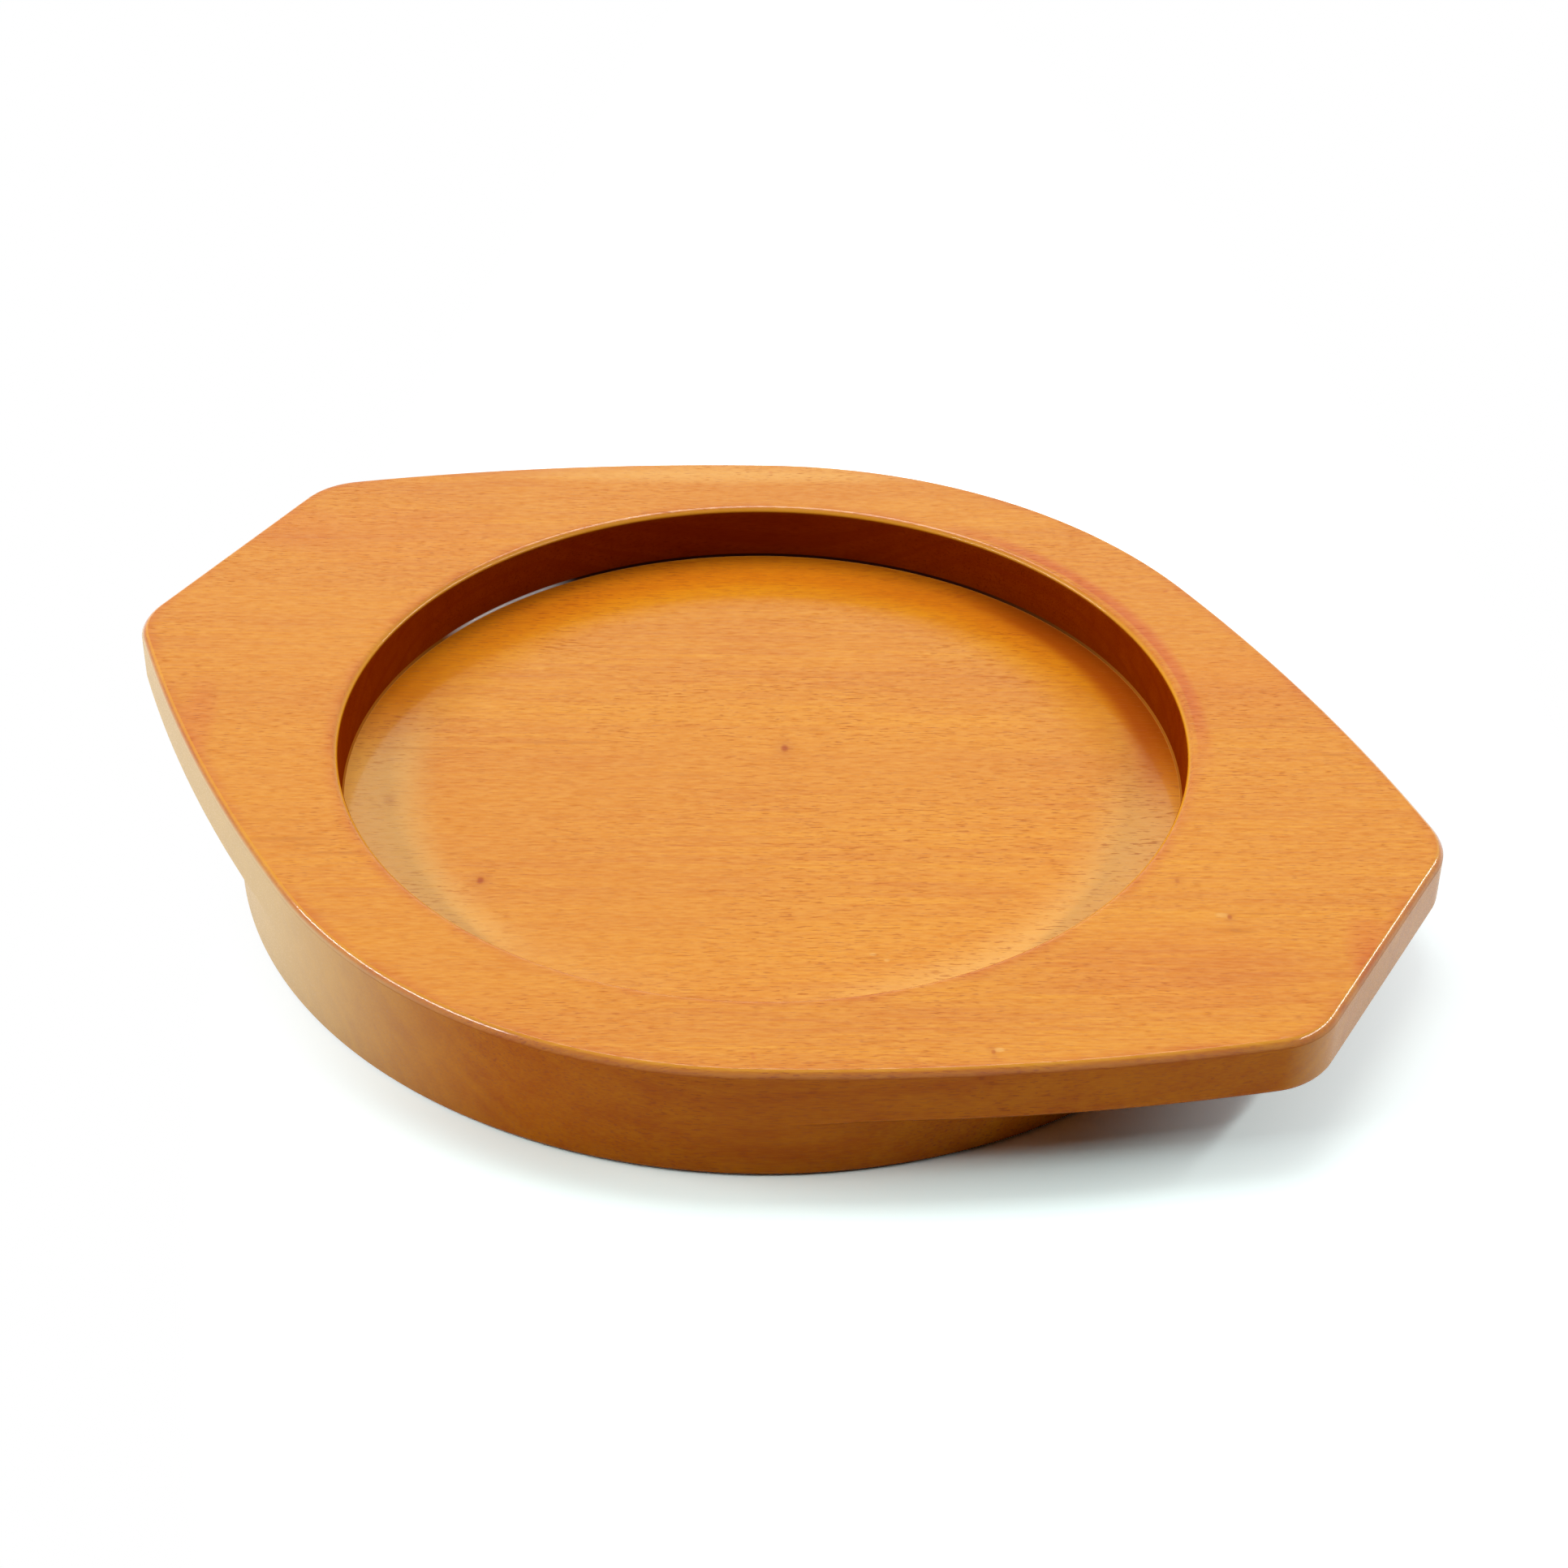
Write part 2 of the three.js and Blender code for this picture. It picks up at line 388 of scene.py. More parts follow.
class TrivetFinish(bpy.types.PropertyGroup):
    """Stain and lacquer of the wood, with painted light and shade"""

    light_stain: colour("Light stain", "Stain on soft pale wood", (0.885, 0.356, 0.011))
    deep_stain: colour("Deep stain", "Stain on dense wood", (0.71, 0.216, 0.010))
    # Also the colour of painted light on the floor of the recess and of a painted sheen along the top at the
    # back
    pale_wood_and_light: colour("Pale wood and light", "Sapwood and flecks, which take little stain", (0.95, 0.50, 0.110))
    # Painted glare: the pale colour painted on the outer walls on the left and on the end of the right handle
    painted_glare: colour("Painted glare", "Pale walls and the end of a handle", (0.92, 0.80, 0.50))
    # Also the colour of bands of painted shade on the floor of the recess
    pore_stain_and_shade: colour("Pores", "Stain that has run into pores and dark marks", (0.46, 0.105, 0.004))
    knot_stain: colour("Knots", "Heart of a pin knot", (0.44, 0.085, 0.022))
    # Gold of rubbed edges, partly a painted sheen on the rim and along the crest of the outer edge
    worn_edge_and_sheen: colour("Worn edge and sheen", "Rounded edges that were rubbed back to gold", (0.95, 0.43, 0.018))
    dried_lacquer: colour("Dried lacquer", "Line of lacquer at the foot of the recess", (0.42, 0.13, 0.012))
    # Painted shade: the line of lacquer is near black at the back of the recess
    shaded_line: colour("Shaded line", "The same line at the back, where it is dark", (0.03, 0.006, 0.004))
    # A painted whitish highlight on the line of lacquer
    line_glint: colour("Line glint", "The same line where it is whitish", (0.84, 0.80, 0.80))
    # Also the colour of painted shade on the floor of the recess beside its wall
    red_stain_and_shade: colour("Red tint", "Patches that took more of the stain", (0.90, 0.56, 0.55))
    edge_tint: colour("Edge tint", "Deeper stain along the edges", (0.88, 0.66, 0.60))
    wall_tint: colour("Wall tint", "Deeper stain on the sawn sides", (0.66, 0.48, 0.26))
    recess_tint: colour("Recess tint", "Deeper stain on the recess wall", (0.46, 0.24, 0.06))
    # Painted shade on the back of the recess wall
    back_shade: colour("Back tint", "Deeper stain on the back of the recess wall", (0.90, 0.92, 0.70))
    # Makes the faces below darker
    underside_tint: colour("Underside tint", "Deeper stain on the faces below", (0.20, 0.17, 0.14))
    wood_roughness: share("Wood roughness", "Roughness of the wood under the lacquer", 0.25)
    lacquer_roughness: share("Lacquer roughness", "Roughness of the lacquer", 0.10)
    lacquer: share("Lacquer", "Lacquer on the flat faces, beside the bare sawn sides", 0.7)


class TrivetStage(bpy.types.PropertyGroup):
    """Floor, light and camera"""

    floor_colour: colour("Floor", "Colour of the floor as it lights the trivet", (0.92, 0.92, 0.92))
    shadow_tint: colour("Shadow tint", "Colour of the floor as it is shown", (0.76, 0.90, 0.89))
    floor_exposure: strength("Floor exposure", "How much brighter the floor is shown than it is lit", 1.8)
    azimuth: angle("Azimuth", "Turn of the camera round the trivet", math.radians(29.27))
    elevation: angle("Elevation", "Height of the camera above the horizon", math.radians(35.92))
    roll: angle("Roll", "Tilt of the camera about its line of sight", 0.0146)
    distance: length("Distance", "From the middle of the top face to the camera", 515.2 * MM)
    slide_right: shift("Slide right", "Shift of the camera to its right", 3.44 * MM)
    slide_up: shift("Slide up", "Shift of the camera upwards", -9.55 * MM)
    lens: FloatProperty(name="Lens", description="Focal length", default=71.37, min=1.0, unit="CAMERA")
    horizon_light: strength("Horizon light", "Radiance of the studio at the floor", 0.08)
    studio_light: strength("Studio light", "Radiance of the studio's walls", 0.36)
    overhead_light: strength("Overhead light", "Power of the ceiling light, in watts", 9.0)
    back_light: strength("Back light", "Radiance that the large light behind the trivet adds", 1.1)
    side_light: strength("Side light", "Radiance that the large light on the left adds", 1.8)
    overhead_tilt: angle("Overhead tilt", "Tilt of the ceiling light towards the back", math.radians(24))
    left_softbox: strength("Left softbox", "Power of the softbox on the left, in watts", 8.6)
    right_softbox: strength("Right softbox", "Power of the softbox on the right, in watts", 8.6)


# Objects and node trees


def add_object(name, data):
    made = bpy.data.objects.new(name, data)
    bpy.context.scene.collection.objects.link(made)
    return made


def empty_tree(owner):
    owner.use_nodes = True
    owner.node_tree.nodes.clear()
    return owner.node_tree


# Outline of the upper board


def heading(turn):
    return Vector((math.cos(turn), math.sin(turn)))


def quarter_arcs(shape):
    """The arcs from the end of the right handle to the back of the body: corner, side and body."""
    body_radius = shape.body_diameter / 2
    side_radius = shape.handle_side_radius
    corner_radius = shape.handle_corner_radius
    corner = Vector((shape.overall_length / 2, shape.handle_end_width / 2))

    # The side leaves the round body smoothly and runs to the corner of the end
    reach = side_radius - body_radius
    cosine = (corner.length_squared + reach**2 - side_radius**2) / (2 * corner.length * reach)
    side_turn = math.atan2(corner.y, corner.x) - math.acos(cosine)
    side_centre = reach * heading(side_turn)
    leave = side_turn + math.pi

    # The corner touches the straight end and the inside of the side
    fillet_x = corner.x - corner_radius
    rise = math.sqrt((side_radius - corner_radius) ** 2 - (fillet_x - side_centre.x) ** 2)
    fillet_centre = Vector((fillet_x, side_centre.y + rise))
    across = fillet_centre - side_centre
    fillet_turn = math.atan2(across.y, across.x)
    return [
        Arc(fillet_centre, corner_radius, 0.0, fillet_turn, CORNER_STEP),
        Arc(side_centre, side_radius, fillet_turn, leave, OUTLINE_STEP),
        Arc(Vector((0.0, 0.0)), body_radius, leave, RIGHT_ANGLE, OUTLINE_STEP),
    ]


def whole_outline(shape):
    """Points round the upper board, counter-clockwise from the right handle: a quarter, mirrored twice."""
    arcs = quarter_arcs(shape)
    corner = arcs[0]
    steps = math.ceil(corner.centre.y / OUTLINE_STEP)
    rises = [corner.centre.y * (step + 0.5) / steps for step in range(steps)]
    quarter = [OutlinePoint(Vector((corner.centre.x, rise)), corner.radius, 0.0) for rise in rises]
    for arc in arcs:
        steps = math.ceil(arc.radius * (arc.end - arc.start) / arc.step)
        for step in range(steps):
            turn = arc.start + (arc.end - arc.start) * step / steps
            quarter.append(OutlinePoint(arc.centre, arc.radius, turn))
    back = OutlinePoint(Vector((0.0, 0.0)), shape.body_diameter / 2, RIGHT_ANGLE)
    mirrored = []
    for p in reversed(quarter):
        mirrored.append(OutlinePoint(Vector((-p.centre.x, p.centre.y)), p.radius, math.pi - p.angle))
    half = quarter + [back] + mirrored
    return half + [OutlinePoint(-p.centre, p.radius, p.angle + math.pi) for p in half]


def outline_place(point, inset=0.0):
    return point.centre + (point.radius - inset) * heading(point.angle)


def outline_depth(shape, arcs, place):
    """How far a place lies inside the outline of the upper board."""
    folded = Vector((abs(place.x), abs(place.y)))
    depths = []
    if folded.y <= arcs[0].centre.y:
        depths.append(shape.overall_length / 2 - folded.x)
    for arc in arcs:
        ray = folded - arc.centre
        if arc.start <= math.atan2(ray.y, ray.x) % (2 * math.pi) <= arc.end:
            depths.append(arc.radius - ray.length)
    return max(0.0, min(depths, default=0.0))


# Boards


def quarter_turns():
    return [RIGHT_ANGLE * step / ROUND_STEPS for step in range(ROUND_STEPS + 1)]


def upper_section(shape, point):
    """The closed section of the upper board at one outline point, from the foot of the recess wall."""
    recess = shape.recess_diameter / 2
    bottom, top = shape.base_thickness, shape.height
    outward = outline_place(point).normalized()
    overhang = outline_place(point).length - shape.body_diameter / 2
    under = min(max(overhang, 0.0), shape.handle_under_round)

    def inner(offset, height):
        return (outward * (recess + offset)).to_3d() + Vector((0, 0, height))

    def outer(inset, height):
        return outline_place(point, inset).to_3d() + Vector((0, 0, height))

    cove, rim = shape.lacquer_cove, shape.rim_round
    edge, below = shape.top_edge_round, shape.handle_under_round
    section = []
    for step in range(BEAD_STEPS + 1):
        part = step / BEAD_STEPS
        sag = 4 * BEAD_SAG * part * (1 - part)
        section.append(inner(-cove * (1 - part - sag), bottom + cove * (part - sag)))
    section += [inner(rim * (1 - math.cos(t)), top - rim * (1 - math.sin(t))) for t in quarter_turns()]
    section += [inner(rim + offset, top) for offset in TOP_RINGS]
    section += [outer(edge + offset, top) for offset in reversed(TOP_RINGS)]
    for turn in quarter_turns():
        inset = edge * (1 - math.sin(turn) ** EDGE_SQUASH)
        section.append(outer(inset, top - edge * (1 - max(0.0, math.cos(turn)) ** EDGE_SQUASH)))
    for turn in quarter_turns():
        section.append(outer(under * (1 - math.cos(turn)), bottom + below * (1 - math.sin(turn))))
    return section


def base_section(shape, turn):
    """The section of the base disc at one angle, from the middle of its top to that of its underside."""
    radius, top, edge = shape.body_diameter / 2, shape.base_thickness, shape.base_edge_round
    recess = shape.recess_diameter / 2
    profile = [(0.0, top), (recess / 3, top), (2 * recess / 3, top), (recess, top), (radius, top)]
    profile += [(radius - edge * (1 - math.cos(t)), edge * (1 - math.sin(t))) for t in quarter_turns()]
    profile += [(recess, 0.0), (recess / 2, 0.0), (0.0, 0.0)]
    return [(heading(turn) * r).to_3d() + Vector((0, 0, z)) for r, z in profile]


def loft(name, sections, closed):
    """A closed mesh through a ring of sections. A closed section also joins its last point to its first."""
    mesh = bmesh.new()
    rows = [[mesh.verts.new(place) for place in section] for section in sections]
    size = len(sections[0])
    for index, row in enumerate(rows):
        after = rows[(index + 1) % len(rows)]
        for low in range(size if closed else size - 1):
            high = (low + 1) % size
            mesh.faces.new((row[low], after[low], after[high], row[high]))
    bmesh.ops.remove_doubles(mesh, verts=mesh.verts, dist=MERGE_DISTANCE)
    bmesh.ops.recalc_face_normals(mesh, faces=mesh.faces)
    data = bpy.data.meshes.new(name)
    mesh.to_mesh(data)
    mesh.free()
    return data


# Ripping a board into staves


def stave_tree():
    """Geometry Nodes that keep what one slab along the grain holds of a board."""
    tree = bpy.data.node_groups.new("Rip Stave", "GeometryNodeTree")
    for name, kind in STAVE_INPUTS.items():
        tree.interface.new_socket(name, in_out="INPUT", socket_type=f"NodeSocket{kind}")
    tree.interface.new_socket("Stave", in_out="OUTPUT", socket_type="NodeSocketGeometry")

    wiring = Wiring(tree)
    board = Flow(wiring, tree.nodes.new("NodeGroupInput").outputs["Board"])
    inputs = {socket.name: Flow(wiring, socket) for socket in board.socket.node.outputs}
    cube = wiring.node("GeometryNodeMeshCube", {}, {"Size": inputs["Slab Size"]})
    centre = inputs["Slab Centre"]
    slab = wiring.node("GeometryNodeTransform", {}, {"Geometry": cube, "Translation": centre})
    spin = wiring.node("ShaderNodeCombineXYZ", {}, {"Z": inputs["Grain Angle"]})
    turned = wiring.node("GeometryNodeTransform", {}, {"Geometry": slab, "Rotation": spin})

    # The board and the slab share one socket, and sawn edges and sharp corners stay sharp
    cut = wiring.node(
        "GeometryNodeMeshBoolean", {"operation": "INTERSECT", "solver": "MANIFOLD"}, {"Mesh 2": board}
    )
    tree.links.new(turned.socket, cut.socket.node.inputs["Mesh 2"])
    sawn = Flow(wiring, cut.socket.node.outputs["Intersecting Edges"])
    bend = wiring.node("GeometryNodeInputMeshEdgeAngle", {}, {})
    corner = sawn.at_least(bend.above(SHARP_ANGLE))
    smooth = wiring.node(
        "GeometryNodeSetShadeSmooth", {"domain": "FACE"}, {"Geometry": cut, "Shade Smooth": True}
    )
    sharp = wiring.node(
        "GeometryNodeSetShadeSmooth",
        {"domain": "EDGE"},
        {"Geometry": smooth, "Selection": corner, "Shade Smooth": False},
    )
    real = wiring.node("GeometryNodeRealizeInstances", {}, {"Geometry": sharp})
    dressed = wiring.node("GeometryNodeSetMaterial", {}, {"Geometry": real, "Material": inputs["Wood"]})
    wiring.node("NodeGroupOutput", {}, {"Stave": dressed})
    return tree


def rip(name, board, tree, slab, shape, wood):
    """One stave of a board, as a plain mesh with its place in its vertices."""
    stave = add_object(name, board)
    nodes = stave.modifiers.new("Rip", "NODES")
    nodes.node_group = tree
    values = {
        "Slab Size": (slab.right - slab.left, slab.back - slab.front, SLAB_HEIGHTS * shape.height),
        "Slab Centre": ((slab.left + slab.right) / 2, (slab.front + slab.back) / 2, shape.height / 2),
        "Grain Angle": shape.grain_angle,
        "Wood": wood,
    }
    for item in tree.interface.items_tree:
        if item.in_out == "INPUT" and item.name in values:
            nodes[item.identifier] = values[item.name]
    normals = stave.modifiers.new("Flat faces stay flat", "WEIGHTED_NORMAL")
    normals.keep_sharp = True
    depsgraph = bpy.context.evaluated_depsgraph_get()
    data = bpy.data.meshes.new_from_object(stave.evaluated_get(depsgraph), depsgraph=depsgraph)
    stave.modifiers.clear()
    stave.data = data
    data.name = name
    if not data.polygons:
        raise RuntimeError(f"{name} came out empty")
    return stave


def mark_stave(stave, depth_at, seed, tone):
    """Writes what the finish reads: the depth inside the nearest edge, and the stave's seed and tone."""
    points = stave.data.vertices
    depths = stave.data.attributes.new(EDGE_ATTRIBUTE, "FLOAT", "POINT")
    depths.data.foreach_set("value", [depth_at(point.co) for point in points])
    for name, value in ((SEED_ATTRIBUTE, seed), (TONE_ATTRIBUTE, tone)):
        constant = stave.data.attributes.new(name, "FLOAT", "POINT")
        constant.data.foreach_set("value", [value] * len(points))


def place_stave(stave, node, slot):
    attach(stave, BODY)
    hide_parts(node)


def make_staves(shape, board, glue_lines):
    """Rips a board along glue lines that lie so many staves from the back of the body.

    A stave that the hole cuts through becomes a left and a right piece.
    """
    tree = stave_tree()
    draw = random.Random(board.seed)
    far = shape.overall_length
    width = shape.body_diameter / shape.stave_count
    edges = [far, *(shape.body_diameter / 2 - width * line for line in glue_lines), -far]
    for index, (back, front) in enumerate(zip(edges, edges[1:]), start=1):
        seed = draw.random()
        tone = draw.uniform(-TONE_SPREAD, TONE_SPREAD)
        halves = {"": (-far, far)}
        if max(abs(front), abs(back)) < board.hole:
            halves = {"_left": (-far, 0.0), "_right": (0.0, far)}
        for half, (left, right) in halves.items():
            slab = Slab(left, right, front, back)
            stave = rip(f"{board.piece}_{index}{half}", board.mesh, tree, slab, shape, board.wood)
            mark_stave(stave, board.depth_at, seed, tone)
            place_stave(stave, f"{board.node}_{index}{half}", board.slot)


# Node trees written as expressions


class Flow:
    """An output socket. Sums on it add Math nodes to its tree."""

    def __init__(self, wiring, socket):
        self.wiring = wiring
        self.socket = socket

    def math(self, operation, first, second=0.0):
        return self.wiring.node("ShaderNodeMath", {"operation": operation}, {0: first, 1: second})

    def __add__(self, other):
        return self.math("ADD", self, other)

    def __radd__(self, other):
        return self.math("ADD", other, self)

    def __sub__(self, other):
        return self.math("SUBTRACT", self, other)

    def __rsub__(self, other):
        return self.math("SUBTRACT", other, self)

    def __mul__(self, other):
        return self.math("MULTIPLY", self, other)

    def __rmul__(self, other):
        return self.math("MULTIPLY", other, self)

    def __truediv__(self, other):
        return self.math("DIVIDE", self, other)

    def __pow__(self, power):
        return self.math("POWER", self, power)

    def __abs__(self):
        return self.math("ABSOLUTE", self)

    def above(self, limit):
        return self.math("GREATER_THAN", self, limit)

    def swing(self, amount):
        """Noise about nothing, where it was about a half."""
        return amount * (self - 0.5)

    def at_most(self, other):
        return self.math("MINIMUM", self, other)

    def at_least(self, other):
        return self.math("MAXIMUM", self, other)


class Wiring:
    """A node tree under construction."""

    def __init__(self, tree):
        self.tree = tree

    def node(self, kind, settings, sockets, output=0):
        """Adds a node: its settings first, then a value or a link for each named socket."""
        made = self.tree.nodes.new(kind)
        for key, value in settings.items():
            setattr(made, key, value)
        for key, value in sockets.items():
            if isinstance(value, Flow):
                self.tree.links.new(value.socket, made.inputs[key])
            else:
                made.inputs[key].default_value = value
        return Flow(self, made.outputs[output]) if made.outputs else None

    def smooth(self, value, start, end):
        """Rises smoothly from 0 at start to 1 at end, or falls where end is the smaller."""
        sockets = {"Value": value, "From Min": start, "From Max": end}
        return self.node("ShaderNodeMapRange", {"interpolation_type": "SMOOTHSTEP"}, sockets)

    def vector(self, operation, first, second):
        return self.node("ShaderNodeVectorMath", {"operation": operation}, {0: first, 1: second})

    def dot(self, first, second):
        settings = {"operation": "DOT_PRODUCT"}
        return self.node("ShaderNodeVectorMath", settings, {0: first, 1: second}, output=1)

    def length(self, place):
        return self.node("ShaderNodeVectorMath", {"operation": "LENGTH"}, {0: place}, output=1)

    def noise(self, place, grain, detail=2.0, roughness=0.5):
        """Noise with features about as long, wide and deep as grain says, in the units of place."""
        squeezed = self.vector("DIVIDE", place, grain)
        sockets = {"Vector": squeezed, "Scale": 1.0, "Detail": detail, "Roughness": roughness}
        return self.node("ShaderNodeTexNoise", {}, sockets)

    def blend(self, factor, low, high, kind="MIX"):
        settings = {"data_type": "RGBA", "blend_type": kind}
        return self.node("ShaderNodeMix", settings, {0: factor, 6: low, 7: high}, output=2)

    def attribute(self, name):
        return self.node("ShaderNodeAttribute", {"attribute_name": name}, {}, output=2)

    def axis(self, place, index):
        return self.node("ShaderNodeSeparateXYZ", {}, {0: place}, output=index)


def opaque(rgb):
    return (*rgb, 1.0)


# Finish of the wood


class WoodPaint(Wiring):
    """The finish of one board: places in its grain, masks of its faces, and the marks on them."""

    def __init__(self, tree, shape, finish, marks):
        super().__init__(tree)
        self.shape = shape
        self.finish = finish
        self.marks = marks
        self.recess = shape.recess_diameter / 2 / MM
        self.find_places()
        self.find_faces()
        self.find_grain()
        self.find_lacquer_line()

    def spots(self, marks):
        """One mask for a list of soft oval marks."""
        mask = 0.0
        for mark in marks:
            lengthwise = ((self.along - mark.along) / mark.half_length) ** 2.0
            crosswise = ((self.across - mark.across) / mark.half_width) ** 2.0
            spot = self.smooth(lengthwise + crosswise, 1.0, 0.0) * mark.depth
            mask = spot.at_least(mask)
        return mask

    def sweeps(self, marks):
        """One mask for a list of soft bands round the recess."""
        mask = 0.0
        for mark in marks:
            middle = heading(math.radians(mark.turn) - self.shape.grain_angle).to_3d()
            nearness = self.dot(self.outward, middle)
            fade = math.cos(math.radians(mark.spread))
            full = math.cos(math.radians(mark.spread * SWEEP_FULL_PART))
            band = self.smooth(nearness, fade, full) * self.smooth(self.radius, mark.start, mark.end)
            mask = (band * mark.depth).at_least(mask)
        return mask

    def cover(self, mask, under, stain):
        return self.blend(mask, under, opaque(stain))

    def deepen(self, mask, under, tint):
        return self.blend(mask, under, opaque(tint), "MULTIPLY")

    def find_places(self):
        """Millimetres along, across and through the grain, and outwards from the middle of the trivet."""
        place = self.node("ShaderNodeTexCoord", {}, {}, output=3)
        turn = (0.0, 0.0, -self.shape.grain_angle)
        scale = (1 / MM, 1 / MM, 1 / MM)
        sockets = {"Vector": place, "Rotation": turn, "Scale": scale}
        self.turned = self.node("ShaderNodeMapping", {"vector_type": "POINT"}, sockets)
        self.along = self.axis(self.turned, 0)
        self.across = self.axis(self.turned, 1)
        self.through = self.axis(self.turned, 2)
        flat = self.vector("MULTIPLY", self.turned, (1.0, 1.0, 0.0))
        self.outward = self.vector("NORMALIZE", flat, (0.0, 0.0, 0.0))
        self.radius = self.length(flat)

    def find_faces(self):
        """Masks of the sawn sides, the roundings beside them, the recess, the painted shade at the back of
        its wall, and the walls with a painted glare.
        """
        normal = self.node("ShaderNodeNewGeometry", {}, {}, output=1)
        self.up = self.axis(normal, 2)
        self.flatness = abs(self.up)
        self.wall = self.smooth(self.flatness, *WALL_SLOPE)
        self.face = 1.0 - self.wall
        self.rounding = 4.0 * self.wall * self.face
        self.facing_up = self.smooth(self.up, *UPWARD)
        self.inside = self.smooth(self.radius, *(self.recess + reach for reach in RIM_REACH))
        self.outside = 1.0 - self.inside
        self.hollow = self.wall * self.inside
        # Painted shade: where the back of the recess wall is painted darker
        self.shaded = self.sweeps([DARK_WALL])
        self.end = self.smooth(self.axis(normal, 0), *END_FACE) * self.smooth(self.radius, *END_REACH)
        # Painted glare: where the outer walls on the left and the end of the right handle are painted pale
        self.glare_walls = self.sweeps([GLARE_WALL]).at_least(GLARE_END * self.end)

    def find_grain(self):
        """Growth rings, fibre, and pores: short dark dashes along the grain, closer in some patches."""
        seed = self.attribute(SEED_ATTRIBUTE)
        shifts = {axis: seed * shift for axis, shift in enumerate(SEED_SHIFT)}
        own = self.vector("ADD", self.turned, self.node("ShaderNodeCombineXYZ", {}, shifts))
        wander = self.noise(own, WANDER_GRAIN, detail=1.0) * RING_WANDER
        sideways = self.across + wander - seed * PITH_ASIDE
        from_pith = (sideways ** 2.0 + (self.through + PITH_DEPTH) ** 2.0) ** 0.5
        sockets = {"W": from_pith / RING_WIDTH, "Scale": 1.0, "Detail": 2.0}
        self.ring = self.node("ShaderNodeTexNoise", {"noise_dimensions": "1D"}, sockets)
        self.fibre = self.noise(self.turned, FIBRE_GRAIN)
        dash = self.noise(self.turned, PORE_GRAIN, detail=1.0)
        crowd = self.smooth(self.noise(self.turned, CROWD_GRAIN, detail=1.0), *MIDDLING)
        everywhere, crowded = PORE_SHARES
        self.pores = self.smooth(dash, *PORE_EDGE) * (everywhere + crowded * crowd)

    def find_lacquer_line(self):
        """The bead of lacquer at the foot of the recess wall, and where it is glossy or dull."""
        foot = self.shape.base_thickness / MM
        bead = self.shape.lacquer_cove / MM
        top = self.smooth(self.through, *(foot + bead * part for part in LINE_TOP))
        self.pooled = top * self.smooth(self.through, *(foot + rise for rise in LINE_FOOT)) * self.inside
        self.glossy = self.sweeps([GLOSSY_LINE])
        self.dull = self.pooled * (1.0 - self.glossy)

    def clear_wood(self):
        """Stain that follows slow clouds, rings that come and go, fine fibre and the stave's own tone."""
        cloud = self.noise(self.turned, CLOUD_GRAIN)
        streak = self.noise(self.turned, STREAK_GRAIN)
        patch = self.smooth(self.noise(self.turned, PATCH_GRAIN, detail=0.0), *MIDDLING)
        line = self.noise(self.turned, LINE_GRAIN)
        mottle = self.noise(self.turned, MOTTLE_GRAIN, detail=1.0)
        everywhere, in_patches, on_walls = FIGURE_SHARES
        figure = self.ring.swing(RING_TONE) + streak.swing(STREAK_TONE)
        figure = figure * (everywhere + in_patches * patch + on_walls * self.wall)
        everywhere, in_patches = LINE_SHARES
        lines = line.swing(LINE_TONE) * (everywhere + in_patches * patch) * self.face
        tone = 0.5 + cloud.swing(CLOUD_TONE) + figure + self.fibre.swing(FIBRE_TONE) + lines
        tone = tone + self.attribute(TONE_ATTRIBUTE) + mottle.swing(MOTTLE_TONE) * self.wall
        clear = self.blend(tone, opaque(self.finish.deep_stain), opaque(self.finish.light_stain))
        # Pale flecks, a painted sheen along the top at the back, and painted light on the floor of the recess
        pale = self.spots(self.marks.pale) * (0.5 + self.ring)
        pale = pale.at_least(self.sweeps(self.marks.pale_sweeps)) * self.face
        return self.cover(pale, clear, self.finish.pale_wood_and_light)

    def grained_wood(self):
        """Clear wood with its pores, dark streaks, bands of painted shade and pin knots, and the mask of
        these.
        """
        streaks = self.spots(self.marks.streaks) * self.smooth(self.fibre, *STREAK_EDGE) * self.face
        # Bands of painted shade on the floor of the recess
        bands = self.sweeps(self.marks.dark_sweeps) * self.facing_up
        dark = (self.pores * PORE_DEPTH).at_least(streaks).at_least(bands)
        grained = self.cover(dark, self.clear_wood(), self.finish.pore_stain_and_shade)
        heart_share, halo_share = KNOT_SHARES
        for knot in self.marks.knots:
            squeezed = (self.across - knot.across) * KNOT_SQUEEZE
            span = ((self.along - knot.along) ** 2.0 + squeezed ** 2.0) ** 0.5
            heart = self.smooth(span, *(reach * knot.size for reach in KNOT_HEART))
            halo = self.smooth(span, *(reach * knot.size for reach in KNOT_HALO))
            mask = (heart * heart_share + halo * halo_share) * self.face * knot.depth
            grained = self.cover(mask, grained, self.finish.knot_stain)
            dark = dark.at_least(mask)
        return grained, dark

    def stain_shade_and_glare(self, stained):
        """The edges, some patches and the sawn sides take more stain, bands of the recess floor by its wall
        get painted shade, and some walls get a painted glare.
        """
        finish = self.finish
        depth = self.attribute(EDGE_ATTRIBUTE) / MM
        rub = self.smooth(self.noise(self.turned, RUB_GRAIN), *RUB_EDGE)
        edge = self.smooth(depth, *EDGE_REACH) * rub * self.face
        stained = self.deepen(edge * EDGE_STAIN, stained, finish.edge_tint)
        off_rim = self.smooth(abs(self.radius - (self.recess + RIM_MIDDLE)), *OFF_RIM)
        # Red patches of stain, and bands of painted shade on the floor of the recess beside its wall
        bands = self.sweeps(self.marks.red_sweeps) * off_rim
        red = self.spots(self.marks.red).at_least(bands) * self.facing_up
        stained = self.deepen(red, stained, finish.red_stain_and_shade)
